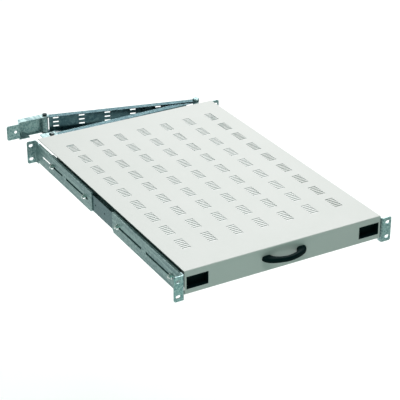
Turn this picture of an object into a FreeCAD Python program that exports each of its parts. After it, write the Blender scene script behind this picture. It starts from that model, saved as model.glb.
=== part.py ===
"""Sliding rack shelf for 19-inch racks, with ball slides and a folding cable arm.

Millimetres.  The origin is the centre of the four front rack holes, on the front
face of the rack flanges.  +X is right, +Y runs back into the rack, +Z is up.
"""
import FreeCAD
import Part

import math
import os

from FreeCAD import Vector

# Rack interface
RACK_WIDTH = 482.6
RACK_HOLE_EDGE = 8.75
RACK_HOLE_PITCH = 31.75
RACK_SLOT_WIDTH = 6.8
RACK_SLOT_LENGTH = 10.0

# Shelf tray
TRAY_SHEET = 1.5
TRAY_BEND = 1.0
TRAY_SIDE_GAP = 2.0
TRAY_DEPTH = 659.0
DECK_HEIGHT = 31.0
PANEL_SETBACK = 3.5
PANEL_HEIGHT = 49.3
PANEL_LIP = 13.0
WINDOW_WIDTH = 46.0
WINDOW_HEIGHT = 26.0
WINDOW_FROM_TOP = 12.6
WINDOW_FROM_END = 4.0
REAR_FLANGE_HEIGHT = 18.0
REAR_FLANGE_LEFT_GAP = 77.5
REAR_FLANGE_RIGHT_GAP = 12.5
VENT_COLUMNS = 7
VENT_ROWS = 9
VENT_SIDE_MARGIN = 46.8
VENT_FRONT_MARGIN = 92.6
VENT_REAR_MARGIN = 82.0
VENT_SLOTS = 6
VENT_SLOT_PITCH = 6.6
VENT_SLOT_LENGTH = 17.5
VENT_SLOT_WIDTH = 3.8

# Finger cups in the panel windows
CUP_PLAY = 0.2
CUP_WALL = 1.5
CUP_DEPTH = 15.0
CUP_RIM = 2.0

# Depth-adjusting brackets
RAIL_REAR_GAP = 7.5
BRACKET_SHEET = 2.0
FLANGE_REACH = 19.8
BRACKET_BEND = 1.5
FLANGE_HEIGHT = 52.0
FLANGE_CORNER = 4.0
FLANGE_NECK = 12.0
WEB_HEIGHT = 44.0
LIP_DEPTH = 5.5
LIP_SETBACK = 10.0
BRACKET_END_MARGIN = 19.0
BRACKET_END_CHAMFER = 5.0
ADJUST_SLOT_WIDTH = 5.5
ADJUST_SLOT_LENGTH = 106.0
ADJUST_SLOT_GAP = 18.0
FRONT_SLOT_SETBACK = 42.0
REAR_SLOT_SETBACK = 36.0

# Square clinch studs with hex nuts, one in each adjusting slot; the first of a bracket is
# set from its slot's end at the rack post, the second from its slot's other end
FRONT_STUD_NEAR = 6.0
FRONT_STUD_FAR = 5.0
REAR_STUD_NEAR = 56.0
REAR_STUD_FAR = 14.0
STUD = 5.0
STUD_TIP = 0.4
NUT_FLATS = 8.0
NUT_HEIGHT = 4.5
STUD_END = 2.5

# Telescopic slides
SLIDE_SHEET = 1.2
SLIDE_END_MARGIN = 12.0
SLIDE_TAIL = 18.0
SLIDE_HEIGHT = 37.0
SLIDE_DEPTH = 12.7
OUTER_DEPTH = 9.0
SLIDE_LIP = 2.7
MIDDLE_SETBACK = 3.2
MIDDLE_DEPTH = 7.8
INNER_DEPTH = 6.7
OUTER_GLIDE = 4.0
INNER_GLIDE = 3.0
GLIDE_PLAY = 0.05
GLIDE_LENGTH = 12.0
GLIDE_SIDE_GAP = 0.2
GLIDES_PER_ROW = 3
CAGE_LENGTH = 200.0
CAGE_SHEET = 0.6
CAGE_GAP = 0.7
POCKET_PLAY = 0.1
BUMPER_LENGTH = 12.0
BUMPER_HEIGHT = 28.0
BUMPER_GAP = 2.0
SPARE_HOLE_STATIONS = (293.0, 335.0)
SPARE_HOLE = 4.0
SHELF_TRAVEL = 480.0

# Slide carriers and stiffeners under the deck
CARRIER_SHEET = 1.5
CARRIER_WIDTH = 17.0
CARRIER_BELOW = 10.0
CARRIER_LEAD = 12.0
CARRIER_TAIL = 4.0
STIFFENER_SHEET = 1.2
STIFFENER_CROWN = 16.0
STIFFENER_SIDE_GAP = 0.5
STIFFENER_DROP = 12.0
STIFFENER_END_GAP = 22.0

# Snap-in pull handle
HANDLE_X = -4.8
HANDLE_Z = 10.4
HANDLE_LENGTH = 96.0
HANDLE_REACH = 26.0
HANDLE_GRIP = 9.5
HANDLE_THICKNESS = 11.5
HANDLE_FOOT = 19.5
HANDLE_SHOULDER = 7.0
HANDLE_EDGE = 2.0
HANDLE_PEG = 6.0
HANDLE_BARB = 1.5
HANDLE_BARB_LENGTH = 2.5

# Cable arm: pivots in plan, as distances from the left rail and behind the tray
RACK_PIVOT_INSET = 69.5
RACK_PIVOT_BEHIND = 117.5
ELBOW_INSET = 413.5
ELBOW_BEHIND = 30.5
SHELF_PIVOT_INSET = 43.5
SHELF_PIVOT_BEHIND = 19.0
ARM_SHEET = 1.2
ARM_WIDTH = 15.0
ARM_HEIGHT = 38.0
ARM_NEST_GAP = 0.6
REAR_ARM_TRIMS = (10.0, 30.0)
FRONT_ARM_TRIMS = (30.0, 45.0)
ARM_SLOT_COLUMNS = 5
ARM_SLOT_ROWS = 3
ARM_SLOT_ROW_PITCH = 10.0
ARM_SLOT_LEAD = 16.0
REAR_ARM_SLOT_TAIL = 59.0
FRONT_ARM_SLOT_TAIL = 39.0
ARM_SLOT_LENGTH = 13.0
ARM_SLOT_WIDTH = 3.0
PIN = 6.0
PIN_PLAY = 0.05
RACK_BOLT_FLATS = 9.0
ELBOW_BOLT_FLATS = 13.0
PIN_HEAD_HEIGHT = 5.0
BARREL = 14.0
BARREL_GAP = 0.1
SHELF_PIN = 5.0
SHELF_PIN_HEAD = 12.0
SHELF_PIN_HEAD_HEIGHT = 3.0
SHELF_PIN_HEADROOM = 0.7
SHELF_PIN_FLATS = 8.0
SHELF_PIN_NUT_HEIGHT = 2.5

# Cable arm brackets
HINGE_SHEET = 1.5
HINGE_GAP = 0.3
HINGE_EAR = 18.0
HINGE_WEB_GAP = 1.0
HINGE_WEB_END = 2.0
HINGE_FLANGE_AHEAD = 27.5
HINGE_WEB_LENGTH = 61.8
HINGE_FLANGE_EDGE = 8.2
HINGE_FLANGE_WIDTH = 28.7
HINGE_FLANGE_TOP = 32.0
HINGE_FLANGE_HEIGHT = 34.0
HINGE_FLANGE_CORNER = 4.0
HINGE_NECK = 6.0
HINGE_TAB = 20.0
HINGE_LIP = 7.2
HINGE_HOLE = 7.0
HINGE_HOLE_Z = 15.0
LUG_SHEET = 1.5
LUG_GAP = 0.5
LUG_MARGIN = 6.0
LUG_PAD = 35.0
LUG_PAD_GAP = 1.0
DRIFT_PLAY = 0.3
DRIFT_STEPS = 48
OVERCUT = 1.0

# Sizes that follow from the ones above
RACK_HOLE_SPAN = RACK_WIDTH - 2 * RACK_HOLE_EDGE
BRACKET_WEB_X = RACK_WIDTH / 2 - FLANGE_REACH
RAIL_X = BRACKET_WEB_X - BRACKET_SHEET
CARRIER_X = RAIL_X - SLIDE_DEPTH
TRAY_HALF = RAIL_X - TRAY_SIDE_GAP
TRAY_REAR = PANEL_SETBACK + TRAY_DEPTH
RAIL_SPAN = TRAY_REAR + RAIL_REAR_GAP
DECK_UNDERSIDE = DECK_HEIGHT - TRAY_SHEET
PANEL_INNER = PANEL_SETBACK + TRAY_SHEET
WINDOW_TOP = DECK_HEIGHT - WINDOW_FROM_TOP
WINDOW_FAR = TRAY_HALF - WINDOW_FROM_END
VENT_COLUMN_PITCH = 2 * (TRAY_HALF - VENT_SIDE_MARGIN) / (VENT_COLUMNS - 1)
VENT_ROW_PITCH = (TRAY_DEPTH - VENT_FRONT_MARGIN - VENT_REAR_MARGIN) / (VENT_ROWS - 1)
ADJUST_SLOT_STEP = ADJUST_SLOT_LENGTH + ADJUST_SLOT_GAP
ADJUST_SLOT_RUN = ADJUST_SLOT_STEP + ADJUST_SLOT_LENGTH
FRONT_STUDS = (FRONT_SLOT_SETBACK + FRONT_STUD_NEAR,
               FRONT_SLOT_SETBACK + ADJUST_SLOT_RUN - FRONT_STUD_FAR)
REAR_STUDS = (RAIL_SPAN - REAR_SLOT_SETBACK - REAR_STUD_NEAR,
              RAIL_SPAN - REAR_SLOT_SETBACK - ADJUST_SLOT_RUN + REAR_STUD_FAR)
SLIDE_FRONT = FRONT_STUDS[0] - SLIDE_END_MARGIN
SLIDE_REAR = REAR_STUDS[0] + SLIDE_TAIL
SLIDE_LENGTH = SLIDE_REAR - SLIDE_FRONT
MEMBER_LENGTH = SLIDE_LENGTH - BUMPER_LENGTH - BUMPER_GAP
CAGE_FRONT = SLIDE_FRONT + (MEMBER_LENGTH - CAGE_LENGTH) / 2
OUTER_HALF = SLIDE_HEIGHT / 2
MIDDLE_HALF = OUTER_HALF - SLIDE_SHEET - OUTER_GLIDE
INNER_HALF = MIDDLE_HALF - SLIDE_SHEET - INNER_GLIDE
LUG_TOP = DECK_UNDERSIDE - SHELF_PIN_HEADROOM - SHELF_PIN_HEAD_HEIGHT - DRIFT_PLAY
FRONT_ARM_TOP = LUG_TOP - LUG_SHEET - LUG_GAP
NEST = ARM_SHEET + ARM_NEST_GAP
ARM_TOP = FRONT_ARM_TOP + NEST
ARM_BOTTOM = ARM_TOP - ARM_HEIGHT
FRONT_ARM_BOTTOM = ARM_BOTTOM + NEST
RACK_PIVOT = (RACK_PIVOT_INSET - RAIL_X, TRAY_REAR + RACK_PIVOT_BEHIND)
ELBOW_PIVOT = (ELBOW_INSET - RAIL_X, TRAY_REAR + ELBOW_BEHIND)
SHELF_PIVOT = (SHELF_PIVOT_INSET - RAIL_X, TRAY_REAR + SHELF_PIVOT_BEHIND)
HINGE_SIDE_FRONT = HINGE_FLANGE_EDGE - RACK_HOLE_SPAN / 2
HINGE_SIDE_REAR = RACK_PIVOT[0] - HINGE_WEB_LENGTH
HINGE_TOP = ARM_TOP + HINGE_GAP + HINGE_SHEET
HINGE_BOTTOM = ARM_BOTTOM - HINGE_GAP - HINGE_SHEET
HINGE_REAR = RACK_PIVOT[1] + ARM_WIDTH / 2 + HINGE_WEB_GAP + HINGE_SHEET
HINGE_FLANGE_Y = RACK_PIVOT[1] - HINGE_FLANGE_AHEAD


def on_plan(a, b, c):
    """A point of a profile drawn in X and Y, at height c."""
    return Vector(a, b, c)


def on_front(a, b, c):
    """A point of a profile drawn in X and Z, at depth c."""
    return Vector(a, c, b)


def on_side(a, b, c):
    """A point of a profile drawn in Y and Z, at width c."""
    return Vector(c, a, b)


def unit(start, end):
    """Direction from one plane point to another."""
    length = math.hypot(end[0] - start[0], end[1] - start[1])
    return ((end[0] - start[0]) / length, (end[1] - start[1]) / length)


def corner_arc(before, corner, after, radius):
    """Start, middle and end of the arc that rounds a corner."""
    back = unit(corner, before)
    ahead = unit(corner, after)
    half_angle = math.acos(max(-1.0, min(1.0, back[0] * ahead[0] + back[1] * ahead[1]))) / 2
    reach = radius / math.tan(half_angle)
    middle = unit((0.0, 0.0), (back[0] + ahead[0], back[1] + ahead[1]))
    to_middle = radius / math.sin(half_angle) - radius
    return [(corner[0] + d[0] * s, corner[1] + d[1] * s)
            for d, s in ((back, reach), (middle, to_middle), (ahead, reach))]


def outline(corners, place, level):
    """Closed wire through corners (a, b, radius), each rounded by its radius."""
    runs = []
    count = len(corners)
    for index, (a, b, radius) in enumerate(corners):
        if radius > 0:
            before = corners[index - 1]
            after = corners[(index + 1) % count]
            runs.append(corner_arc(before, (a, b), after, radius))
        else:
            runs.append([(a, b)])
    edges = []
    for index, run in enumerate(runs):
        points = [place(a, b, level) for a, b in run]
        if len(points) == 3:
            edges.append(Part.Arc(*points).toShape())
        end = place(*runs[(index + 1) % count][0], level)
        if points[-1].distanceToPoint(end) > 1e-6:
            edges.append(Part.LineSegment(points[-1], end).toShape())
    return Part.Wire(edges)


def plate(corners, place, low, high, holes=()):
    """Solid plate with a rounded outline between two levels, with holes through it."""
    wires = [outline(corners, place, low)]
    wires += [outline(hole, place, low) for hole in holes]
    face = Part.Face(wires[0])
    if holes:
        face = Part.makeFace(wires, "Part::FaceMakerBullseye")
    solid = face.extrude(place(0, 0, high) - place(0, 0, low))
    if solid.Volume < 0:
        solid.reverse()
    return solid


def rectangle(a_low, b_low, a_high, b_high, radius=0.0):
    """Corners of a rectangle, all rounded alike."""
    return [(a_low, b_low, radius), (a_high, b_low, radius),
            (a_high, b_high, radius), (a_low, b_high, radius)]


def slot(a, b, length, width):
    """Corners of a round-ended slot along the first axis, centred on a point."""
    return rectangle(a - length / 2, b - width / 2, a + length / 2, b + width / 2, width / 2)


def bent_sheet(path, sheet, place, low, high, bend=None):
    """Folded sheet whose face follows a path, with the metal on the path's left.

    Without a bend radius the folds are sharp, as on the small pressed sections.
    """
    last = len(path) - 1
    ways = [unit(path[i], path[i + 1]) for i in range(last)]
    outer = []
    inner = []
    for index, (a, b) in enumerate(path):
        before = ways[max(index - 1, 0)]
        after = ways[min(index, last - 1)]
        turn = before[0] * after[1] - before[1] * after[0]
        share = sheet / (1 + before[0] * after[0] + before[1] * after[1])
        shift = (-(before[1] + after[1]) * share, (before[0] + after[0]) * share)
        radii = (0.0, 0.0)
        if bend and turn > 0:
            radii = (bend + sheet, bend)
        elif bend and turn < 0:
            radii = (bend, bend + sheet)
        outer.append((a, b, radii[0]))
        inner.append((a + shift[0], b + shift[1], radii[1]))
    return plate(outer + inner[::-1], place, low, high)


def cylinder(diameter, start, end):
    """Round bar between two points."""
    axis = end - start
    return Part.makeCylinder(diameter / 2, axis.Length, start, axis)


def tube(outside, bore, start, end):
    """Round bar with a bore right through it."""
    return cylinder(outside, start, end).cut(cylinder(bore, start, end))


def joined(first, *others):
    """One solid from pieces that touch or overlap."""
    return first.multiFuse(list(others)).removeSplitter()


def mirrored(shape):
    """The left-hand twin of a right-hand piece."""
    return shape.mirror(Vector(0, 0, 0), Vector(1, 0, 0))


def turned_to_rear(shape):
    """A front bracket seen from the other end of the rails."""
    return shape.mirror(Vector(0, RAIL_SPAN / 2, 0), Vector(0, 1, 0))


def rail_bracket(slot_setback):
    """Right-hand bracket: rack flange at y = 0, folded channel running back."""
    half = FLANGE_HEIGHT / 2
    edge = RACK_WIDTH / 2
    length = slot_setback + ADJUST_SLOT_RUN + BRACKET_END_MARGIN
    angle = bent_sheet([(RAIL_X, FLANGE_NECK), (RAIL_X, 0.0), (edge, 0.0)],
                       BRACKET_SHEET, on_plan, -half, half, BRACKET_BEND)
    angle = angle.common(plate(rectangle(0, -half, edge, half, FLANGE_CORNER), on_front, 0, FLANGE_NECK))
    lip = BRACKET_WEB_X - LIP_DEPTH
    top = WEB_HEIGHT / 2
    channel = bent_sheet([(lip, -top), (BRACKET_WEB_X, -top), (BRACKET_WEB_X, top), (lip, top)],
                         BRACKET_SHEET, on_front, LIP_SETBACK, length)
    bracket = joined(angle, channel)
    chamfer = BRACKET_END_CHAMFER
    bracket = bracket.cut(plate([(length - chamfer, -top, 0), (length, -top, 0),
                                 (length, chamfer - top, 0)], on_side, 0, edge))
    for side in (-1, 1):
        hole = slot(RACK_HOLE_SPAN / 2, side * RACK_HOLE_PITCH / 2, RACK_SLOT_LENGTH, RACK_SLOT_WIDTH)
        bracket = bracket.cut(plate(hole, on_front, -OVERCUT, BRACKET_SHEET + OVERCUT))
    for step in range(2):
        middle = slot_setback + ADJUST_SLOT_LENGTH / 2 + step * ADJUST_SLOT_STEP
        hole = rectangle(middle - ADJUST_SLOT_LENGTH / 2, -ADJUST_SLOT_WIDTH / 2,
                         middle + ADJUST_SLOT_LENGTH / 2, ADJUST_SLOT_WIDTH / 2)
        bracket = bracket.cut(plate(hole, on_side, RAIL_X - OVERCUT, BRACKET_WEB_X + OVERCUT))
    return bracket


def front_bracket():
    """Right-hand bracket on the front rack posts."""
    return rail_bracket(FRONT_SLOT_SETBACK)


def rear_bracket():
    """Right-hand bracket on the rear rack posts."""
    return turned_to_rear(rail_bracket(REAR_SLOT_SETBACK))


def hex_prism(seat, way, flats, height):
    """Hex head or nut that stands on a seat."""
    across = Vector(0, 0, 1) if abs(way.z) < 0.5 else Vector(1, 0, 0)
    beside = way.cross(across)
    radius = flats / math.sqrt(3)
    turns = [math.radians(60 * corner) for corner in range(6)]
    rim = [seat + across * (radius * math.cos(turn)) + beside * (radius * math.sin(turn)) for turn in turns]
    return Part.Face(Part.makePolygon(rim + rim[:1])).extrude(way * height)


def stud_shanks(low, high):
    """Square shanks of the rail studs between two distances from the centre plane."""
    half = STUD / 2
    return [plate(rectangle(y - half, -half, y + half, half), on_side, low, high)
            for y in FRONT_STUDS + REAR_STUDS]


def rail_studs():
    """Clinch studs of the outer slide member, with the nuts that clamp the brackets."""
    shanks = stud_shanks(RAIL_X - SLIDE_SHEET - STUD_TIP, BRACKET_WEB_X + NUT_HEIGHT + STUD_END)
    nuts = [hex_prism(Vector(BRACKET_WEB_X, y, 0), Vector(1, 0, 0), NUT_FLATS, NUT_HEIGHT)
            for y in FRONT_STUDS + REAR_STUDS]
    return Part.Compound([joined(shank, nut) for shank, nut in zip(shanks, nuts)])


def slide_channel(setback, depth, half, length):
    """Right-hand slide member: channel open towards the shelf, with lips that keep the glides in."""
    back = RAIL_X - setback
    front = back - depth
    lip = half - SLIDE_LIP
    path = [(front, -lip), (front, -half), (back, -half), (back, half), (front, half), (front, lip)]
    return bent_sheet(path, SLIDE_SHEET, on_front, SLIDE_FRONT, SLIDE_FRONT + length)


def outer_slide():
    """Rack-side member, with square stud holes and two spare round holes in its web."""
    member = slide_channel(0.0, OUTER_DEPTH, OUTER_HALF, SLIDE_LENGTH)
    low = RAIL_X - SLIDE_SHEET - OVERCUT
    high = RAIL_X + OVERCUT
    spare = [SLIDE_FRONT + station for station in SPARE_HOLE_STATIONS]
    holes = [cylinder(SPARE_HOLE, Vector(low, y, 0), Vector(high, y, 0)) for y in spare]
    return member.cut(Part.Compound(holes + stud_shanks(low, high)))


def middle_slide():
    """Intermediate member between the two sets of glides."""
    return slide_channel(MIDDLE_SETBACK, MIDDLE_DEPTH, MIDDLE_HALF, MEMBER_LENGTH)


def inner_slide():
    """Shelf-side member: channel open towards the rack, welded to the carrier."""
    tip = CARRIER_X + INNER_DEPTH
    half = INNER_HALF
    return bent_sheet([(tip, half), (CARRIER_X, half), (CARRIER_X, -half), (tip, -half)],
                      SLIDE_SHEET, on_front, SLIDE_FRONT, SLIDE_FRONT + MEMBER_LENGTH)


def glide_row(setback, depth, half, glide):
    """Centre of a row of glides in X and Z, behind the lip of a slide member."""
    lip_face = RAIL_X - setback - depth + SLIDE_SHEET
    return (lip_face + GLIDE_SIDE_GAP + glide / 2, half - SLIDE_SHEET - glide / 2)


def outer_row():
    """Where the glides between outer and intermediate members run."""
    return glide_row(0.0, OUTER_DEPTH, OUTER_HALF, OUTER_GLIDE)


def inner_row():
    """Where the glides between intermediate and inner members run."""
    return glide_row(MIDDLE_SETBACK, MIDDLE_DEPTH, MIDDLE_HALF, INNER_GLIDE)


def glide_stations():
    """Glide centres along the cage."""
    pitch = CAGE_LENGTH / GLIDES_PER_ROW
    return [CAGE_FRONT + pitch * (index + 0.5) for index in range(GLIDES_PER_ROW)]


def glide_blocks(row, size, play, height):
    """Blocks at every glide of the upper and lower row, grown by a play."""
    reach = size / 2 + play
    along = GLIDE_LENGTH / 2 + play
    return Part.Compound([plate(rectangle(row[0] - reach, y - along, row[0] + reach, y + along), on_plan,
                                side * row[1] - height / 2, side * row[1] + height / 2)
                          for y in glide_stations() for side in (-1, 1)])


def glide_set(row, size):
    """The glides of both rows, with running play against the members."""
    return glide_blocks(row, size - 2 * GLIDE_PLAY, 0.0, size - 2 * GLIDE_PLAY)


def glide_cage(row, size, web_x):
    """Folded retainer with a pocket for each glide."""
    half = row[1] + CAGE_SHEET / 2
    tip = row[0] - size / 2 - GLIDE_SIDE_GAP
    cage = bent_sheet([(tip, -half), (web_x, -half), (web_x, half), (tip, half)],
                      CAGE_SHEET, on_front, CAGE_FRONT, CAGE_FRONT + CAGE_LENGTH)
    return cage.cut(glide_blocks(row, size - 2 * GLIDE_PLAY, POCKET_PLAY, size))


def outer_cage():
    """Retainer beside the outer member's web."""
    return glide_cage(outer_row(), OUTER_GLIDE, RAIL_X - SLIDE_SHEET - CAGE_GAP)


def inner_cage():
    """Retainer beside the intermediate member's web."""
    return glide_cage(inner_row(), INNER_GLIDE, RAIL_X - MIDDLE_SETBACK - SLIDE_SHEET - CAGE_GAP)


def slide_bumper():
    """Plastic stop in the rear end of the outer member."""
    back = RAIL_X - SLIDE_SHEET
    front = RAIL_X - OUTER_DEPTH + SLIDE_SHEET
    half = BUMPER_HEIGHT / 2
    return plate(rectangle(front, -half, back, half), on_front, SLIDE_REAR - BUMPER_LENGTH, SLIDE_REAR)


def slide_carrier():
    """Angle under the deck that carries the inner slide member."""
    path = [(CARRIER_X, -CARRIER_BELOW), (CARRIER_X, DECK_UNDERSIDE),
            (CARRIER_X - CARRIER_WIDTH, DECK_UNDERSIDE)]
    return bent_sheet(path, CARRIER_SHEET, on_front, SLIDE_FRONT - CARRIER_LEAD,
                      SLIDE_FRONT + MEMBER_LENGTH + CARRIER_TAIL)


def deck_stiffener():
    """Hat-section stiffener welded under the deck between two columns of vents."""
    middle = VENT_COLUMN_PITCH * 1.5
    side = (VENT_COLUMN_PITCH - VENT_SLOT_LENGTH) / 2 - STIFFENER_SIDE_GAP
    crown = STIFFENER_CROWN / 2
    low = DECK_UNDERSIDE - STIFFENER_DROP + STIFFENER_SHEET
    path = [(middle + side, DECK_UNDERSIDE), (middle + crown, DECK_UNDERSIDE), (middle + crown, low),
            (middle - crown, low), (middle - crown, DECK_UNDERSIDE), (middle - side, DECK_UNDERSIDE)]
    return bent_sheet(path, STIFFENER_SHEET, on_front, PANEL_SETBACK + STIFFENER_END_GAP,
                      TRAY_REAR - STIFFENER_END_GAP)


def vent_slots():
    """Outlines of the vent slots: groups on a grid, slots stacked along the depth."""
    slots = []
    for column in range(VENT_COLUMNS):
        x = (column - (VENT_COLUMNS - 1) / 2) * VENT_COLUMN_PITCH
        for row in range(VENT_ROWS):
            middle = PANEL_SETBACK + VENT_FRONT_MARGIN + row * VENT_ROW_PITCH
            for index in range(VENT_SLOTS):
                y = middle + (index - (VENT_SLOTS - 1) / 2) * VENT_SLOT_PITCH
                slots.append(rectangle(x - VENT_SLOT_LENGTH / 2, y - VENT_SLOT_WIDTH / 2,
                                       x + VENT_SLOT_LENGTH / 2, y + VENT_SLOT_WIDTH / 2))
    return slots


def handle_pegs(length, barb):
    """Square pegs of the handle from the panel's front face, each grown sideways by a barb."""
    reach = (HANDLE_LENGTH - HANDLE_FOOT) / 2
    half = HANDLE_PEG / 2
    return [plate(rectangle(HANDLE_X + side * reach - half - barb, HANDLE_Z - half,
                            HANDLE_X + side * reach + half + barb, HANDLE_Z + half),
                  on_front, length[0], length[1]) for side in (-1, 1)]


def window_outline(grow):
    """Corners of the right-hand panel window, grown on every side."""
    return rectangle(WINDOW_FAR - WINDOW_WIDTH - grow, WINDOW_TOP - WINDOW_HEIGHT - grow,
                     WINDOW_FAR + grow, WINDOW_TOP + grow)


def window_cup():
    """Finger cup set into a panel window from behind, with a rim and a closed back."""
    floor = PANEL_SETBACK + CUP_DEPTH - CUP_WALL
    shell = joined(plate(window_outline(CUP_RIM), on_front, PANEL_INNER, PANEL_INNER + CUP_WALL),
                   plate(window_outline(-CUP_PLAY), on_front, PANEL_SETBACK, floor + CUP_WALL))
    hollow = plate(window_outline(-CUP_PLAY - CUP_WALL), on_front, PANEL_SETBACK - OVERCUT, floor)
    return shell.cut(hollow)


def shelf_tray():
    """Vented deck with a folded front panel, its windows, and a rear stiffening flange."""
    seam = PANEL_SETBACK + PANEL_LIP + TRAY_BEND
    panel_foot = DECK_HEIGHT - PANEL_HEIGHT
    front = bent_sheet([(seam, DECK_HEIGHT), (PANEL_SETBACK, DECK_HEIGHT),
                        (PANEL_SETBACK, panel_foot), (PANEL_SETBACK + PANEL_LIP, panel_foot)],
                       TRAY_SHEET, on_side, -TRAY_HALF, TRAY_HALF, TRAY_BEND)
    through = (PANEL_SETBACK - OVERCUT, PANEL_INNER + OVERCUT)
    window = plate(window_outline(0.0), on_front, *through)
    front = front.cut(Part.Compound([window, mirrored(window)] + handle_pegs(through, 0.0)))
    deck = plate(rectangle(-TRAY_HALF, seam, TRAY_HALF, TRAY_REAR), on_plan,
                 DECK_UNDERSIDE, DECK_HEIGHT, vent_slots())
    foot = DECK_HEIGHT - REAR_FLANGE_HEIGHT
    rear = plate(rectangle(REAR_FLANGE_LEFT_GAP - TRAY_HALF, foot,
                           TRAY_HALF - REAR_FLANGE_RIGHT_GAP, DECK_UNDERSIDE),
                 on_front, TRAY_REAR - TRAY_SHEET, TRAY_REAR)
    return joined(front, deck, rear)


def pull_handle():
    """Bow handle on the panel: two broad feet, a grip arched forward, and barbed pegs behind."""
    end = HANDLE_LENGTH / 2
    foot = end - HANDLE_FOOT
    face = PANEL_SETBACK
    front = face - HANDLE_REACH
    shoulder = face - HANDLE_SHOULDER
    low = HANDLE_Z - HANDLE_THICKNESS / 2
    high = HANDLE_Z + HANDLE_THICKNESS / 2
    plan = [(-end, shoulder), (0, front), (end, shoulder), (end, face), (foot, face),
            (0, front + HANDLE_GRIP), (-foot, face), (-end, face)]
    rim = [Vector(HANDLE_X + a, b, low) for a, b in plan]
    edges = [Part.Arc(*rim[0:3]).toShape(), Part.makeLine(rim[2], rim[3]), Part.makeLine(rim[3], rim[4]),
             Part.Arc(*rim[4:7]).toShape(), Part.makeLine(rim[6], rim[7]), Part.makeLine(rim[7], rim[0])]
    handle = Part.Face(Part.Wire(edges)).extrude(Vector(0, 0, high - low))
    rims = [edge for edge in handle.Edges
            if min(abs(edge.CenterOfMass.z - low), abs(edge.CenterOfMass.z - high)) < 1e-6
            and abs(edge.CenterOfMass.y - face) > 1e-6]
    handle = handle.makeChamfer(HANDLE_EDGE, rims)
    barbs = handle_pegs((PANEL_INNER, PANEL_INNER + HANDLE_BARB_LENGTH), HANDLE_BARB)
    return joined(handle, *handle_pegs((face, PANEL_INNER), 0.0), *barbs)


def span(start, end):
    """Distance between two plan points."""
    return math.hypot(end[0] - start[0], end[1] - start[1])


def heading(start, end):
    """Direction between two plan points, in radians from +X."""
    return math.atan2(end[1] - start[1], end[0] - start[0])


def arm_headings(forward):
    """Headings of the rear and front arm with the shelf pulled out by a distance."""
    target = (SHELF_PIVOT[0], SHELF_PIVOT[1] - forward)
    rear = span(RACK_PIVOT, ELBOW_PIVOT)
    front = span(ELBOW_PIVOT, SHELF_PIVOT)
    gap = span(RACK_PIVOT, target)
    opening = math.acos((rear * rear + gap * gap - front * front) / (2 * rear * gap))
    rear_heading = heading(RACK_PIVOT, target) + opening
    elbow = (RACK_PIVOT[0] + rear * math.cos(rear_heading), RACK_PIVOT[1] + rear * math.sin(rear_heading))
    return rear_heading, heading(elbow, target)


def pin_drifts():
    """How far the shelf pin runs in its slot while both arms turn evenly with the travel."""
    rear = span(RACK_PIVOT, ELBOW_PIVOT)
    front = span(ELBOW_PIVOT, SHELF_PIVOT)
    shut = arm_headings(0.0)
    out = arm_headings(SHELF_TRAVEL)
    drifts = []
    for step in range(DRIFT_STEPS + 1):
        share = step / DRIFT_STEPS
        first = shut[0] + (out[0] - shut[0]) * share
        second = shut[1] + (out[1] - shut[1]) * share
        x = RACK_PIVOT[0] + rear * math.cos(first) + front * math.cos(second)
        y = RACK_PIVOT[1] + rear * math.sin(first) + front * math.sin(second)
        drifts.append((x - SHELF_PIVOT[0], y - SHELF_PIVOT[1] + SHELF_TRAVEL * share))
    return drifts


def cable_arm(start, end, top, bottom, trims, slot_tail, bores):
    """Channel arm between two pivots, with round ends and slots for cable ties.

    The web stops short of each pivot by its trim, and the last slot short of the web's end by
    the slot tail; bores give distance, diameter and lower end.
    """
    length = span(start, end)
    half = ARM_WIDTH / 2
    path = [(-half, bottom), (half, bottom), (half, top), (-half, top)]
    web_end = length - trims[1]
    arm = bent_sheet(path, ARM_SHEET, on_side, trims[0], web_end)
    ends = slot(length / 2, 0, length + ARM_WIDTH, ARM_WIDTH)
    arm = joined(arm, plate(ends, on_plan, bottom, bottom + ARM_SHEET),
                 plate(ends, on_plan, top - ARM_SHEET, top))
    first = trims[0] + ARM_SLOT_LEAD
    pitch = (web_end - slot_tail - first) / (ARM_SLOT_COLUMNS - 1)
    cuts = []
    for column in range(ARM_SLOT_COLUMNS):
        for row in range(ARM_SLOT_ROWS):
            a = first + column * pitch
            b = (top + bottom) / 2 + (row - (ARM_SLOT_ROWS - 1) / 2) * ARM_SLOT_ROW_PITCH
            hole = rectangle(a - ARM_SLOT_LENGTH / 2, b - ARM_SLOT_WIDTH / 2,
                             a + ARM_SLOT_LENGTH / 2, b + ARM_SLOT_WIDTH / 2)
            cuts.append(plate(hole, on_front, half - ARM_SHEET - OVERCUT, half + OVERCUT))
    for distance, diameter, low in bores:
        cuts.append(cylinder(diameter, Vector(distance, 0, low), Vector(distance, 0, top + OVERCUT)))
    arm = arm.cut(Part.Compound(cuts))
    arm.rotate(Vector(0, 0, 0), Vector(0, 0, 1), math.degrees(heading(start, end)))
    arm.translate(Vector(start[0], start[1], 0))
    return arm


def rear_arm():
    """Arm from the rack pivot to the elbow."""
    length = span(RACK_PIVOT, ELBOW_PIVOT)
    low = ARM_BOTTOM - OVERCUT
    bores = [(0.0, PIN + 2 * PIN_PLAY, low), (length, PIN, low)]
    return cable_arm(RACK_PIVOT, ELBOW_PIVOT, ARM_TOP, ARM_BOTTOM, REAR_ARM_TRIMS,
                     REAR_ARM_SLOT_TAIL, bores)


def front_arm():
    """Arm from the elbow to the shelf, nested inside the rear arm's flanges."""
    length = span(ELBOW_PIVOT, SHELF_PIVOT)
    top = FRONT_ARM_TOP
    bores = [(0.0, PIN + 2 * PIN_PLAY, FRONT_ARM_BOTTOM - OVERCUT),
             (length, SHELF_PIN, top - ARM_SHEET - OVERCUT)]
    return cable_arm(ELBOW_PIVOT, SHELF_PIVOT, top, FRONT_ARM_BOTTOM, FRONT_ARM_TRIMS,
                     FRONT_ARM_SLOT_TAIL, bores)


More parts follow.
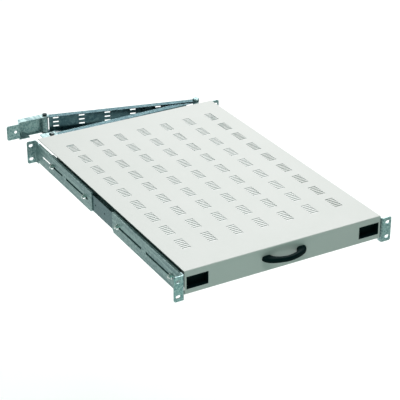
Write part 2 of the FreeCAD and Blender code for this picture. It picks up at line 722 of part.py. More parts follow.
def at_pivot(pivot, z):
    """The point of a pivot's axis at a height."""
    return Vector(pivot[0], pivot[1], z)


def pivot_bolt(pivot, low, high, flats):
    """Pivot bolt with a hex head above and a nut below."""
    return joined(cylinder(PIN, at_pivot(pivot, low), at_pivot(pivot, high)),
                  hex_prism(at_pivot(pivot, high), Vector(0, 0, 1), flats, PIN_HEAD_HEIGHT),
                  hex_prism(at_pivot(pivot, low), Vector(0, 0, -1), flats, PIN_HEAD_HEIGHT))


def rack_pivot_bolt():
    """Bolt that joins the rear arm to its rack bracket."""
    return pivot_bolt(RACK_PIVOT, HINGE_BOTTOM, HINGE_TOP, RACK_BOLT_FLATS)


def elbow_bolt():
    """Bolt that joins the two arms."""
    return pivot_bolt(ELBOW_PIVOT, ARM_BOTTOM, ARM_TOP, ELBOW_BOLT_FLATS)


def spacer_barrel(pivot, bottom, top):
    """Spacer tube on a pivot bolt, between the flanges of an arm."""
    low = bottom + ARM_SHEET + BARREL_GAP
    high = top - ARM_SHEET - BARREL_GAP
    return tube(BARREL, PIN, at_pivot(pivot, low), at_pivot(pivot, high))


def rack_pivot_barrel():
    """Spacer tube in the rear arm's end at the rack bracket."""
    return spacer_barrel(RACK_PIVOT, ARM_BOTTOM, ARM_TOP)


def elbow_barrel():
    """Spacer tube between the front arm's flanges at the elbow."""
    return spacer_barrel(ELBOW_PIVOT, FRONT_ARM_BOTTOM, FRONT_ARM_TOP)


def shelf_pin():
    """Pin in the front arm's end: its head slides on the lug, its nut sits under the arm's flange."""
    seat = at_pivot(SHELF_PIVOT, FRONT_ARM_TOP - ARM_SHEET)
    head = at_pivot(SHELF_PIVOT, LUG_TOP + DRIFT_PLAY)
    up = Vector(0, 0, 1)
    return joined(cylinder(SHELF_PIN, seat, head),
                  cylinder(SHELF_PIN_HEAD, head, head + up * SHELF_PIN_HEAD_HEIGHT),
                  hex_prism(seat, up * -1, SHELF_PIN_FLATS, SHELF_PIN_NUT_HEIGHT))


def arm_lug():
    """Joggled tab under the deck's rear edge, slotted for the shelf pin's run."""
    drifts = pin_drifts()
    far = max(drifts, key=lambda drift: math.hypot(*drift))
    way = unit((0.0, 0.0), far)
    run = max(drift[0] * way[0] + drift[1] * way[1] for drift in drifts)
    sway = max(abs(drift[1] * way[0] - drift[0] * way[1]) for drift in drifts)
    width = SHELF_PIN + 2 * (sway + DRIFT_PLAY)
    margin = max(SHELF_PIN_HEAD, width) / 2 + LUG_MARGIN
    x, y = SHELF_PIVOT
    low_x = x + min(drift[0] for drift in drifts) - margin
    high_x = x + max(drift[0] for drift in drifts) + margin
    riser = y + min(drift[1] for drift in drifts) - margin
    path = [(y + margin, LUG_TOP), (riser, LUG_TOP), (riser, DECK_UNDERSIDE),
            (riser - LUG_PAD, DECK_UNDERSIDE)]
    lug = bent_sheet(path, LUG_SHEET, on_side, low_x, high_x)
    track = plate(slot(run / 2, 0, run + width, width), on_plan,
                  LUG_TOP - LUG_SHEET - OVERCUT, LUG_TOP + OVERCUT)
    track.rotate(Vector(0, 0, 0), Vector(0, 0, 1), math.degrees(math.atan2(way[1], way[0])))
    track.translate(at_pivot(SHELF_PIVOT, 0))
    beside = CARRIER_WIDTH - CARRIER_X + LUG_PAD_GAP
    clearance = plate(rectangle(low_x - OVERCUT, riser - LUG_PAD - OVERCUT, beside, riser - LUG_SHEET),
                      on_plan, LUG_TOP, DECK_HEIGHT)
    return lug.cut(track).cut(clearance)


def arm_rack_bracket():
    """Bracket that hangs the rear arm on a rack post: rack flange, slanted side plate, forked ears."""
    x, y = RACK_PIVOT
    half = HINGE_EAR / 2
    web_end = x - HINGE_WEB_END
    flange_rear = HINGE_FLANGE_Y + HINGE_SHEET
    flange_foot = HINGE_FLANGE_TOP - HINGE_FLANGE_HEIGHT
    flange_end = HINGE_SIDE_FRONT - HINGE_FLANGE_WIDTH
    slope = (HINGE_SIDE_REAR - HINGE_SIDE_FRONT) / (HINGE_REAR - flange_rear)
    neck_x = HINGE_SIDE_FRONT + slope * HINGE_NECK
    ear_x = HINGE_SIDE_FRONT + slope * (y - half - flange_rear)
    back = bent_sheet([(web_end, HINGE_REAR), (HINGE_SIDE_REAR, HINGE_REAR),
                       (HINGE_SIDE_FRONT, flange_rear)], HINGE_SHEET, on_plan, HINGE_BOTTOM, HINGE_TOP)
    back = back.cut(plate([(flange_rear - OVERCUT, HINGE_BOTTOM, 0), (y - half, HINGE_BOTTOM, 0),
                           (flange_rear - OVERCUT, flange_foot, 0)], on_side, flange_end, x))
    flange = bent_sheet([(neck_x, flange_rear + HINGE_NECK), (HINGE_SIDE_FRONT, flange_rear),
                         (flange_end, flange_rear)], HINGE_SHEET, on_plan, flange_foot, HINGE_FLANGE_TOP)
    flange = flange.common(plate(rectangle(flange_end, flange_foot, neck_x + HINGE_NECK, HINGE_FLANGE_TOP,
                                           HINGE_FLANGE_CORNER), on_front, HINGE_FLANGE_Y, HINGE_REAR))
    ear = [(HINGE_SIDE_REAR, HINGE_REAR, 0), (ear_x, y - half, 0), (x + half, y - half, half),
           (x + half, y + half, half), (web_end, y + half, 0), (web_end, HINGE_REAR, 0)]
    notch = plate(rectangle(HINGE_SIDE_REAR + HINGE_TAB, y - half - OVERCUT,
                            x - half, HINGE_REAR - HINGE_LIP),
                  on_plan, HINGE_BOTTOM - OVERCUT, HINGE_BOTTOM + HINGE_SHEET)
    bracket = joined(back, flange,
                     plate(ear, on_plan, HINGE_BOTTOM, HINGE_BOTTOM + HINGE_SHEET).cut(notch),
                     plate(ear, on_plan, HINGE_TOP - HINGE_SHEET, HINGE_TOP))
    hole_x = -RACK_HOLE_SPAN / 2
    hole = cylinder(HINGE_HOLE, Vector(hole_x, HINGE_FLANGE_Y - OVERCUT, HINGE_HOLE_Z),
                    Vector(hole_x, flange_rear + OVERCUT, HINGE_HOLE_Z))
    bore = cylinder(PIN, Vector(x, y, HINGE_BOTTOM - OVERCUT), Vector(x, y, HINGE_TOP + OVERCUT))
    return bracket.cut(hole).cut(bore)


def paired_pieces():
    """Right-hand pieces that have a left-hand twin."""
    return {
        "front_bracket": front_bracket(),
        "rear_bracket": rear_bracket(),
        "rail_studs": rail_studs(),
        "outer_slide": outer_slide(),
        "middle_slide": middle_slide(),
        "inner_slide": inner_slide(),
        "outer_cage": outer_cage(),
        "outer_glides": glide_set(outer_row(), OUTER_GLIDE),
        "inner_cage": inner_cage(),
        "inner_glides": glide_set(inner_row(), INNER_GLIDE),
        "slide_bumper": slide_bumper(),
        "slide_carrier": slide_carrier(),
        "deck_stiffener": deck_stiffener(),
        "window_cup": window_cup(),
    }


def single_pieces():
    """Pieces that come once."""
    return {
        "shelf_tray": shelf_tray(),
        "pull_handle": pull_handle(),
        "arm_lug": arm_lug(),
        "arm_rack_bracket": arm_rack_bracket(),
        "rack_pivot_bolt": rack_pivot_bolt(),
        "rack_pivot_barrel": rack_pivot_barrel(),
        "cable_rear_arm": rear_arm(),
        "elbow_bolt": elbow_bolt(),
        "elbow_barrel": elbow_barrel(),
        "cable_front_arm": front_arm(),
        "shelf_pin": shelf_pin(),
    }


def main():
    """Write every piece to its own file."""
    os.makedirs("parts", exist_ok=True)
    pieces = single_pieces()
    for name, shape in paired_pieces().items():
        pieces["right_" + name] = shape
        pieces["left_" + name] = mirrored(shape)
    for name, shape in pieces.items():
        shape.exportStep(os.path.join("parts", name + ".step"))


main()
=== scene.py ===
"""Looks of a sliding rack shelf, laid out as a Blender add-on and run as a script.

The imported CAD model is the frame: its nodes stay where they are and get their finishes here.
The moulded handle and the turned fasteners are new surfaces that stand for their CAD nodes.
Everything is in metres, in the frame of the CAD model: +X right, +Y into the rack, +Z up.
"""

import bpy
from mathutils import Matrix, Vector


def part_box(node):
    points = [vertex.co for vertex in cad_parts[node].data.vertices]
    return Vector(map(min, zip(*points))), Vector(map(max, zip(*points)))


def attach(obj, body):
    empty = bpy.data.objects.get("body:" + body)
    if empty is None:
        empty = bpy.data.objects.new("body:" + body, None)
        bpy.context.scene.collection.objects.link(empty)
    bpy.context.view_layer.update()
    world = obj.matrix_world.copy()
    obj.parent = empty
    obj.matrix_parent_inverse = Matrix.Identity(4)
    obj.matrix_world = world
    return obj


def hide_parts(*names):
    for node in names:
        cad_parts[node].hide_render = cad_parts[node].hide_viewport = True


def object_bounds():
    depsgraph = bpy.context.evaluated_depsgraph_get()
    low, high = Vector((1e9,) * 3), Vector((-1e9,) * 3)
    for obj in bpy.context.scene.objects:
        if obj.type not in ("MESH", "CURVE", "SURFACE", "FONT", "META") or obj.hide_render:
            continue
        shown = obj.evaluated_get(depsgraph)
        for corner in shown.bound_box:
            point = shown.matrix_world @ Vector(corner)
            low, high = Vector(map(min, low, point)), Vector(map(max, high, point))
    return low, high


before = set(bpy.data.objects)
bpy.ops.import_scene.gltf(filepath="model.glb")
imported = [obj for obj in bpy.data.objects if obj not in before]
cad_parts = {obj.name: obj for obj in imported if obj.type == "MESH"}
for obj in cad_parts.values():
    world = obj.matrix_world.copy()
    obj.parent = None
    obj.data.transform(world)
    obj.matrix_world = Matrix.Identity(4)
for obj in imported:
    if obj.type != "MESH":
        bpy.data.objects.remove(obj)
CAD_BOX = [list(corner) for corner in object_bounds()]

import math

import bmesh
import bpy
import numpy as np

bl_info = {
    "name": "Sliding rack shelf",
    "version": (1, 0, 0),
    "blender": (4, 5, 0),
    "location": "View3D > Sidebar > Rack Shelf",
    "description": "Finishes, handle, fasteners and studio of a sliding rack shelf",
    "category": "Object",
}

MM = 0.001
SIDES = ("left", "right")
SMOOTH_ANGLE = math.radians(35)
ROUND_POINTS = 48
PANEL_SHEET = 1.5 * MM
BRACKET_SHEET = 2.0 * MM
# Nearly all values of a noise texture lie between these.
NOISE_LOW, NOISE_HIGH = 0.3, 0.7


def linear(hex_colour):
    """Linear RGBA of an sRGB hex colour."""
    channels = [int(hex_colour[i:i + 2], 16) / 255 for i in (1, 3, 5)]
    return tuple(c / 12.92 if c <= 0.04045 else ((c + 0.055) / 1.055) ** 2.4 for c in channels) + (1.0,)


def colour(name, description, hex_colour):
    """A colour that a user would change."""
    return bpy.props.FloatVectorProperty(name=name, description=description, subtype="COLOR",
                                         size=4, min=0.0, max=1.0, default=linear(hex_colour))


def length(name, description, millimetres):
    """A length that a user would change."""
    return bpy.props.FloatProperty(name=name, description=description, unit="LENGTH",
                                   subtype="DISTANCE", default=millimetres * MM)


def wattage(name, description, watts):
    """A light's power that a user would change."""
    return bpy.props.FloatProperty(name=name, description=description, unit="POWER", default=watts)


def angle(name, description, degrees):
    """An angle that a user would change."""
    return bpy.props.FloatProperty(name=name, description=description, unit="ROTATION",
                                   subtype="ANGLE", default=math.radians(degrees))


class FinishColours(bpy.types.PropertyGroup):
    """Colours of the shelf's finishes."""
    coat: colour("Powder coat", "Light grey coat of the tray", "#C5C6C3")
    coat_shade: colour("Powder coat, thin", "The coat where it lies thinner", "#BEC1BD")
    # Painted shade: a darker coat colour for the walls of the vents and the deck's rims.
    edge_painted_shade: colour("Powder coat, cut edge", "The coat on cut edges, where it barely covers", "#8A9492")
    zinc: colour("Zinc plate", "Blue-passivated zinc on brackets, spacers and elbow bolt", "#A6BDBC")
    zinc_shade: colour("Zinc plate, dull", "The same plate where it is duller", "#68878A")
    spangle: colour("Galvanised, bright", "Bright crystals of the cable arm", "#607C81")
    spangle_shade: colour("Galvanised, dark", "Dark crystals of the cable arm", "#45626A")
    strip: colour("Slide strip", "Rolled steel of the slides", "#5B7A7E")
    strip_shade: colour("Slide strip, dull", "Rolling streaks of the slides", "#466064")
    bright: colour("Bright fastener", "Bright zinc on the studs and nuts of the rails", "#EAF0EE")
    bright_shade: colour("Bright fastener, dull", "The same zinc where it was handled", "#BFCAC8")
    oxide: colour("Black oxide", "Blackened pivot bolt and pin", "#30393A")
    oxide_shade: colour("Black oxide, worn", "Worn places of the blackened steel", "#4B5758")
    plastic: colour("Black plastic", "Moulded handle and cups", "#051819")
    plastic_shade: colour("Black plastic, rubbed", "Where hands have rubbed the plastic", "#092021")
    acetal: colour("Acetal", "Natural glides of the slides", "#E8E3D4")
    acetal_shade: colour("Acetal, greased", "Grease on the glides", "#CFC8B2")
    rubber: colour("Rubber", "End stops of the slides", "#1B1D1D")
    rubber_shade: colour("Rubber, dusty", "Dust on the end stops", "#2C2F2F")
    floor: colour("Floor", "Plain pale floor", "#F7F7F6")
    floor_shade: colour("Floor, shade", "Faint unevenness of the floor", "#F4F5F4")


class HandleSizes(bpy.types.PropertyGroup):
    """Sizes of the moulded bow handle."""
    foot: length("Foot", "Width of a foot on the panel", 19.4)
    grip: length("Grip", "Thickness of the grip", 9.4)
    height: length("Height", "Height of the feet; the grip is a little lower", 11.4)
    edge: bpy.props.FloatProperty(name="Edge", description="Roundness of the section, 2 is an ellipse",
                                  subtype="UNSIGNED", default=3.4, min=2.0, max=8.0)
    bow: bpy.props.FloatProperty(name="Bow", description="Fullness of the bow, 2 is an ellipse",
                                 subtype="UNSIGNED", default=1.8, min=1.5, max=6.0)
    peg: length("Peg", "Width of a snap peg", 6.0)
    barb: length("Barb", "How far a peg's barb stands out", 1.5)


class FastenerSizes(bpy.types.PropertyGroup):
    """Sizes of the nuts, studs, bolts and pin."""
    nut_flats: length("Nut", "Width of a nut across its flats", 8.0)
    nut_height: length("Nut height", "Height of a nut over the bracket", 4.5)
    nut_flange: length("Nut flange", "Diameter of a nut's flange", 12.0)
    flange_height: length("Flange height", "Thickness of a nut's flange", 1.2)
    stud: length("Stud", "Diameter of a stud's thread", 5.0)
    thread: length("Thread pitch", "Pitch of a stud's thread", 0.8)
    rack_bolt: length("Rack bolt", "Width of the rack pivot's bolt head across its flats", 9.0)
    elbow_bolt: length("Elbow bolt", "Width of the elbow's bolt head across its flats", 13.0)
    bolt: length("Bolt shank", "Diameter of a bolt's shank", 6.0)
    chamfer: length("Chamfer", "Corner chamfer of nuts and heads", 0.9)


class StudioSettings(bpy.types.PropertyGroup):
    """Camera, floor and light."""
    camera_place: bpy.props.FloatVectorProperty(name="Camera", description="Where the camera stands",
                                                subtype="XYZ", unit="LENGTH", size=3,
                                                default=(-1.2322, -1.8445, 1.2574))
    yaw: angle("Yaw", "Camera's turn to the right", 29.53)
    pitch: angle("Pitch", "Camera's tilt down", 27.16)
    lens: bpy.props.FloatProperty(name="Lens", description="Focal length of the camera", unit="CAMERA",
                                  default=121.89)
    floor_size: length("Floor", "Half width of the floor", 15000.0)
    floor_drop: length("Floor drop", "How far the floor lies under the shelf, which hangs on posts", 1000.0)
    key_power: wattage("Key light", "Power of the softbox above the shelf", 37.5)
    key_colour: colour("Key colour", "Colour of the softbox, floor light and light below", "#FFF9FB")
    back_power: wattage("Floor light", "Power of the light on the far floor", 172.0)
    back_spread: angle("Floor spread", "How wide the floor light beams", 105.0)
    fill_power: wattage("Fill light", "Power of the light from the left", 0.4)
    front_power: wattage("Front light", "Power of the low light in front", 0.2)
    fill_spread: angle("Fill spread", "How wide the left and the front light beam", 36.0)
    fill_colour: colour("Fill colour", "Colour of the left and the front light", "#B4F0E2")
    under_power: wattage("Under light", "Power of the light from below into the vents", 2.6)
    under_spread: angle("Under spread", "How wide the light below beams", 60.0)
    sky: colour("Room", "Colour of the room's own light", "#BCEADC")
    sky_strength: bpy.props.FloatProperty(name="Room strength", description="Strength of the room's light",
                                          subtype="UNSIGNED", default=0.30, min=0.0)


def add(tree, kind, sockets=(), **settings):
    """Add a node; a socket is linked where it is given another node's output, and set otherwise."""
    node = tree.nodes.new(kind)
    for name, value in settings.items():
        setattr(node, name, value)
    for name, value in dict(sockets).items():
        if isinstance(value, bpy.types.NodeSocket):
            tree.links.new(value, node.inputs[name])
        else:
            node.inputs[name].default_value = value
    return node


def finish(name, **values):
    """A material with a Principled shader set to these values, and its Object coordinates."""
    material = bpy.data.materials.new(name)
    material.use_nodes = True
    tree = material.node_tree
    tree.nodes.clear()
    sockets = {key.replace("_", " "): value for key, value in values.items()}
    shader = add(tree, "ShaderNodeBsdfPrincipled", sockets)
    add(tree, "ShaderNodeOutputMaterial", {"Surface": shader.outputs["BSDF"]})
    place = add(tree, "ShaderNodeTexCoord").outputs["Object"]
    return material, tree, shader, place


def dress(tree, shader, pattern, dark, light, rough, grain, depth):
    """Colour by a pattern between two tones, roughness and bump by a grain of a real depth.

    Gives back the colour, for a finish that goes over it.
    """
    tint = add(tree, "ShaderNodeMix", {0: pattern, 6: dark, 7: light}, data_type="RGBA")
    dull = add(tree, "ShaderNodeMapRange", {"Value": grain, "From Min": NOISE_LOW, "From Max": NOISE_HIGH,
                                            "To Min": rough[0], "To Max": rough[1]})
    bump = add(tree, "ShaderNodeBump", {"Height": grain, "Strength": 1.0, "Distance": depth})
    tree.links.new(tint.outputs[2], shader.inputs["Base Color"])
    tree.links.new(dull.outputs["Result"], shader.inputs["Roughness"])
    tree.links.new(bump.outputs["Normal"], shader.inputs["Normal"])
    return tint.outputs[2]


def powder_coat(tones):
    """Baked powder coat on sheet steel: an even satin with a fine orange peel; the vents' walls and the
    deck's rims get painted shade.
    """
    material, tree, shader, place = finish("powder_coated_steel", Metallic=0.0, IOR=1.5)
    # Orange peel of a baked coat runs at about 1.5 mm; cloudiness of the film at about 90 mm.
    peel = add(tree, "ShaderNodeTexNoise", {"Vector": place, "Scale": 1 / (1.5 * MM), "Detail": 3.0})
    cloud = add(tree, "ShaderNodeTexNoise", {"Vector": place, "Scale": 1 / (90 * MM), "Detail": 2.0})
    coat = dress(tree, shader, cloud.outputs["Fac"], tones.coat_shade, tones.coat, (0.40, 0.54),
                 peel.outputs["Fac"], 0.02 * MM)
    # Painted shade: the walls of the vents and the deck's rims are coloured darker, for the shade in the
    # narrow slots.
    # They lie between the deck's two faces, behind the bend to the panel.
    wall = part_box("shelf_tray")[1][2] - 0.8 * MM
    half_wall = 0.65 * MM
    bend = 20 * MM
    axes = add(tree, "ShaderNodeSeparateXYZ", {"Vector": place})
    in_sheet = add(tree, "ShaderNodeMath", {0: axes.outputs["Z"], 1: wall, 2: half_wall},
                   operation="COMPARE")
    behind = add(tree, "ShaderNodeMath", {0: axes.outputs["Y"], 1: bend}, operation="GREATER_THAN")
    cut = add(tree, "ShaderNodeMath", {0: in_sheet.outputs[0], 1: behind.outputs[0]}, operation="MULTIPLY")
    coat_with_painted_shade = add(tree, "ShaderNodeMix", {0: cut.outputs[0], 6: coat, 7: tones.edge_painted_shade}, data_type="RGBA")
    tree.links.new(coat_with_painted_shade.outputs[2], shader.inputs["Base Color"])
    return material


def zinc_plate(tones):
    """Blue-passivated zinc on pressed steel: a cool grey shine, dull in clouds and in drawn streaks."""
    material, tree, shader, place = finish("zinc_plated_steel", Metallic=0.6)
    # Streaks from drawing are about 3.5 mm wide and run for 160 mm along the rails; clouds are about 6 mm.
    streak_share = 0.6
    wide, long = 1 / (3.5 * MM), 1 / (160 * MM)
    along = add(tree, "ShaderNodeMapping", {"Vector": place, "Scale": (wide, long, wide)})
    streak = add(tree, "ShaderNodeTexNoise", {"Vector": along.outputs["Vector"], "Scale": 1.0,
                                              "Detail": 3.0})
    cloud = add(tree, "ShaderNodeTexNoise", {"Vector": place, "Scale": 1 / (6 * MM), "Detail": 4.0,
                                             "Roughness": 0.6})
    both = add(tree, "ShaderNodeMix", {0: streak_share, 2: cloud.outputs["Fac"], 3: streak.outputs["Fac"]})
    # The mix is stretched, so that dull and shiny places stand apart.
    dullest, shiniest = 0.41, 0.57
    patchy = add(tree, "ShaderNodeMapRange", {"Value": both.outputs[0], "From Min": dullest,
                                              "From Max": shiniest})
    dress(tree, shader, patchy.outputs["Result"], tones.zinc_shade, tones.zinc, (0.30, 0.50),
          streak.outputs["Fac"], 0.012 * MM)
    return material


def galvanised(tones):
    """Galvanised sheet: interlocking zinc crystals, each with its own tone and gloss."""
    material, tree, shader, place = finish("galvanised_steel", Metallic=1.0)
    # Spangle of thin sheet is about 7 mm across; the grain inside a crystal about 1 mm.
    wavy = add(tree, "ShaderNodeTexNoise", {"Vector": place, "Scale": 1 / (4 * MM), "Detail": 2.0})
    shifted = add(tree, "ShaderNodeVectorMath", {0: wavy.outputs["Color"], 1: (3 * MM,) * 3, 2: place},
                  operation="MULTIPLY_ADD")
    cell = add(tree, "ShaderNodeTexVoronoi", {"Vector": shifted.outputs[0], "Scale": 1 / (7 * MM)})
    tone = add(tree, "ShaderNodeSeparateColor", {"Color": cell.outputs["Color"]})
    fine = add(tree, "ShaderNodeTexNoise", {"Vector": place, "Scale": 1 / (1 * MM), "Detail": 2.0})
    dress(tree, shader, tone.outputs["Red"], tones.spangle_shade, tones.spangle, (0.22, 0.34),
          fine.outputs["Fac"], 0.010 * MM)
    return material


def slide_strip(tones):
    """Cold-rolled strip of the slides: smooth, with long drawn lines and a thin film of grease."""
    material, tree, shader, place = finish("cold_rolled_strip", Metallic=1.0)
    # Real drawn lines are finer; they are 0.6 mm wide here, which shows close up. The film runs at 35 mm.
    wide, long = 1 / (0.6 * MM), 1 / (150 * MM)
    along = add(tree, "ShaderNodeMapping", {"Vector": place, "Scale": (wide, long, wide)})
    line = add(tree, "ShaderNodeTexNoise", {"Vector": along.outputs["Vector"], "Scale": 1.0, "Detail": 2.0})
    film = add(tree, "ShaderNodeTexNoise", {"Vector": place, "Scale": 1 / (35 * MM), "Detail": 3.0})
    dress(tree, shader, film.outputs["Fac"], tones.strip_shade, tones.strip, (0.20, 0.38),
          line.outputs["Fac"], 0.008 * MM)
    return material


def bright_zinc(tones):
    """Bright zinc on small fasteners: clear reflections, duller where tools gripped."""
    material, tree, shader, place = finish("bright_zinc_fastener", Metallic=1.0)
    # Tool marks on nuts are about 1.5 mm.
    mark = add(tree, "ShaderNodeTexNoise", {"Vector": place, "Scale": 1 / (1.5 * MM), "Detail": 3.0})
    dress(tree, shader, mark.outputs["Fac"], tones.bright_shade, tones.bright, (0.16, 0.34),
          mark.outputs["Fac"], 0.01 * MM)
    return material


def black_oxide(tones):
    """Blackened steel: a dark oily sheen, greyer and brighter where it wears."""
    material, tree, shader, place = finish("black_oxide_steel", Metallic=0.8)
    # Wear patches on pins are about 2 mm.
    wear = add(tree, "ShaderNodeTexNoise", {"Vector": place, "Scale": 1 / (2 * MM), "Detail": 4.0})
    dress(tree, shader, wear.outputs["Fac"], tones.oxide, tones.oxide_shade, (0.28, 0.5),
          wear.outputs["Fac"], 0.01 * MM)
    return material


def moulded_plastic(tones):
    """Moulded black ABS: spark-eroded grain, almost matt, a shade lighter where hands rub it."""
    material, tree, shader, place = finish("moulded_black_abs", Metallic=0.0, IOR=1.54,
                                           Specular_IOR_Level=0.03)
    # Spark erosion leaves pits of about 0.5 mm; rubbing shows in patches of 12 mm.
    pit = add(tree, "ShaderNodeTexNoise", {"Vector": place, "Scale": 1 / (0.5 * MM), "Detail": 2.0})
    rub = add(tree, "ShaderNodeTexNoise", {"Vector": place, "Scale": 1 / (12 * MM), "Detail": 3.0})
    dress(tree, shader, rub.outputs["Fac"], tones.plastic, tones.plastic_shade, (0.50, 0.66),
          pit.outputs["Fac"], 0.02 * MM)
    return material


def acetal(tones):
    """Natural acetal: milky, waxy, with grease in thin smears."""
    material, tree, shader, place = finish("natural_acetal", Metallic=0.0, IOR=1.48)
    # Grease smears are about 3 mm.
    smear = add(tree, "ShaderNodeTexNoise", {"Vector": place, "Scale": 1 / (3 * MM), "Detail": 3.0})
    dress(tree, shader, smear.outputs["Fac"], tones.acetal_shade, tones.acetal, (0.26, 0.44),
          smear.outputs["Fac"], 0.01 * MM)
    return material


def rubber(tones):
    """Moulded rubber: matt black with grey dust."""
    material, tree, shader, place = finish("moulded_rubber", Metallic=0.0, IOR=1.52)
    # Dust gathers in specks of about 1 mm.
    dust = add(tree, "ShaderNodeTexNoise", {"Vector": place, "Scale": 1 / (1 * MM), "Detail": 4.0})
    dress(tree, shader, dust.outputs["Fac"], tones.rubber, tones.rubber_shade, (0.65, 0.85),
          dust.outputs["Fac"], 0.03 * MM)
    return material


def matt_floor(tones):
    """Matt studio board: pale, without gloss, very faintly uneven."""
    material, tree, shader, place = finish("matt_studio_board", Metallic=0.0, IOR=1.45)
    # Unevenness of the board runs at about 400 mm; its tooth at about 2 mm.
    uneven = add(tree, "ShaderNodeTexNoise", {"Vector": place, "Scale": 1 / (400 * MM), "Detail": 2.0})
    tooth = add(tree, "ShaderNodeTexNoise", {"Vector": place, "Scale": 1 / (2 * MM), "Detail": 2.0})
    dress(tree, shader, uneven.outputs["Fac"], tones.floor_shade, tones.floor, (0.85, 0.95),
          tooth.outputs["Fac"], 0.01 * MM)
    return material


FINISHES = {
    "powder_coated_steel": powder_coat,
    "zinc_plated_steel": zinc_plate,
    "galvanised_steel": galvanised,
    "cold_rolled_strip": slide_strip,
    "bright_zinc_fastener": bright_zinc,
    "black_oxide_steel": black_oxide,
    "moulded_black_abs": moulded_plastic,
    "natural_acetal": acetal,
    "moulded_rubber": rubber,
    "matt_studio_board": matt_floor,
}


def finished(name, scene):
    """The named finish, made once."""
    return bpy.data.materials.get(name) or FINISHES[name](scene.shelf_colours)


def coat_nodes(names, material):
    """Give CAD nodes a finish in their own material slots."""
    for name in names:
        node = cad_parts.get(name)
        if node is None:
            raise RuntimeError("the packed model has no node named " + name)
        if not node.material_slots:
            node.data.materials.append(material)
        for slot in node.material_slots:
            slot.material = material


def pairs(*names):
    """Left and right nodes of each name."""
    return [side + "_" + name for side in SIDES for name in names]


def turns(count):
    """Angles of a closed ring."""
    return np.arange(count) * (2 * math.pi / count)


def rounded_section(angles, power):
    """Superellipse of half width 1: each of cosine and sine raised to 2 / power, keeping its sign."""
    across = np.sign(np.cos(angles)) * np.abs(np.cos(angles)) ** (2 / power)
    up = np.sign(np.sin(angles)) * np.abs(np.sin(angles)) ** (2 / power)
    return across, up


def prism_radius(angles, sides, flats):
    """Radius of a regular prism: half the flats over the cosine of the angle from the nearest flat."""
    step = 2 * math.pi / sides
    return flats / 2 / np.cos((angles + step / 2) % step - step / 2)


def swept(path, normal, half_across, half_up, angles, power):
    """Section carried along a path in plan: the point at (i, j) is the path's i-th point, plus its
    normal times the half width times the section's across, plus height times the section's up."""
    across, up = rounded_section(angles, power)
    grid = np.zeros((len(path), len(angles), 3))
    offset = half_across[:, None] * across[None, :]
    grid[:, :, :2] = path[:, None, :2] + normal[:, None, :] * offset[:, :, None]
    grid[:, :, 2] = path[:, None, 2] + half_up[:, None] * up[None, :]
    return grid


def turned(foot, axis, heights, radii, angles):
    """Surface about an axis: the point at (i, j) lies at height i, at radius (i, j) and at angle j."""
    axis = np.asarray(axis, float)
    first = np.array([0.0, 0.0, 1.0]) if abs(axis[2]) < 0.5 else np.array([1.0, 0.0, 0.0])
    second = np.cross(axis, first)
    ring = np.cos(angles)[:, None] * first + np.sin(angles)[:, None] * second
    radii = np.broadcast_to(np.asarray(radii, float), (len(heights), len(angles)))
    rise = np.asarray(heights)[:, None, None] * axis
    return np.asarray(foot, float) + rise + radii[:, :, None] * ring[None]


def closed_faces(rows, count, start):
    """Quads of a ringed grid, with one face over each end; corner numbers begin at start."""
    ring = np.arange(count)
    after = (ring + 1) % count
    base = start + np.arange(rows - 1)[:, None] * count
    quads = np.stack([base + ring, base + after, base + count + after, base + count + ring], axis=-1)
    ends = [(start + ring[::-1]).tolist(), (start + (rows - 1) * count + ring).tolist()]
    return quads.reshape(-1, 4).tolist() + ends


def piece(name, grids, material, body, nodes):
    """One object from closed grids; it rides on a body, fills a material slot and stands for CAD nodes."""
    points = []
    faces = []
    start = 0
    for grid in grids:
        rows, count = grid.shape[:2]
        faces += closed_faces(rows, count, start)
        points.append(grid.reshape(-1, 3))
        start += rows * count
    mesh = bpy.data.meshes.new(name)
    mesh.from_pydata(np.concatenate(points).tolist(), [], faces)
    shell = bmesh.new()
    shell.from_mesh(mesh)
    bmesh.ops.recalc_face_normals(shell, faces=shell.faces)
    shell.to_mesh(mesh)
    shell.free()
    mesh.shade_smooth()
    mesh.set_sharp_from_angle(angle=SMOOTH_ANGLE)
    mesh.materials.append(material)
    made = bpy.data.objects.new(name, mesh)
    bpy.context.scene.collection.objects.link(made)
    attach(made, body)
    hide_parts(*nodes)
    return made


class RACKSHELF_OT_coated_sheet(bpy.types.Operator):
    """Powder coat on the tray, its carriers and its stiffeners"""
    bl_idname = "rack_shelf.coated_sheet"
    bl_label = "Coated sheet"

    def execute(self, context):
        coat_nodes(["shelf_tray"] + pairs("slide_carrier", "deck_stiffener"),
                   finished("powder_coated_steel", context.scene))
        return {"FINISHED"}


class RACKSHELF_OT_rail_brackets(bpy.types.Operator):
    """Zinc plate on the rail brackets, the cable arm's rack bracket and its lug"""
    bl_idname = "rack_shelf.rail_brackets"
    bl_label = "Rail brackets"

    def execute(self, context):
        coat_nodes(["arm_rack_bracket", "arm_lug"] + pairs("front_bracket", "rear_bracket"),
                   finished("zinc_plated_steel", context.scene))
        return {"FINISHED"}


class RACKSHELF_OT_cable_arm(bpy.types.Operator):
    """Galvanised finish on the two channels of the cable arm, zinc plate on the spacers of its pivots"""
    bl_idname = "rack_shelf.cable_arm"
    bl_label = "Cable arm"

    def execute(self, context):
        coat_nodes(["cable_front_arm", "cable_rear_arm"], finished("galvanised_steel", context.scene))
        coat_nodes(["elbow_barrel", "rack_pivot_barrel"], finished("zinc_plated_steel", context.scene))
        return {"FINISHED"}


class RACKSHELF_OT_slides(bpy.types.Operator):
    """Finishes of the slide members, cages, glides and end stops"""
    bl_idname = "rack_shelf.slides"
    bl_label = "Slides"

    def execute(self, context):
        coat_nodes(pairs("outer_slide", "middle_slide", "inner_slide", "outer_cage", "inner_cage"),
                   finished("cold_rolled_strip", context.scene))
        coat_nodes(pairs("outer_glides", "inner_glides"), finished("natural_acetal", context.scene))
        coat_nodes(pairs("slide_bumper"), finished("moulded_rubber", context.scene))
        return {"FINISHED"}


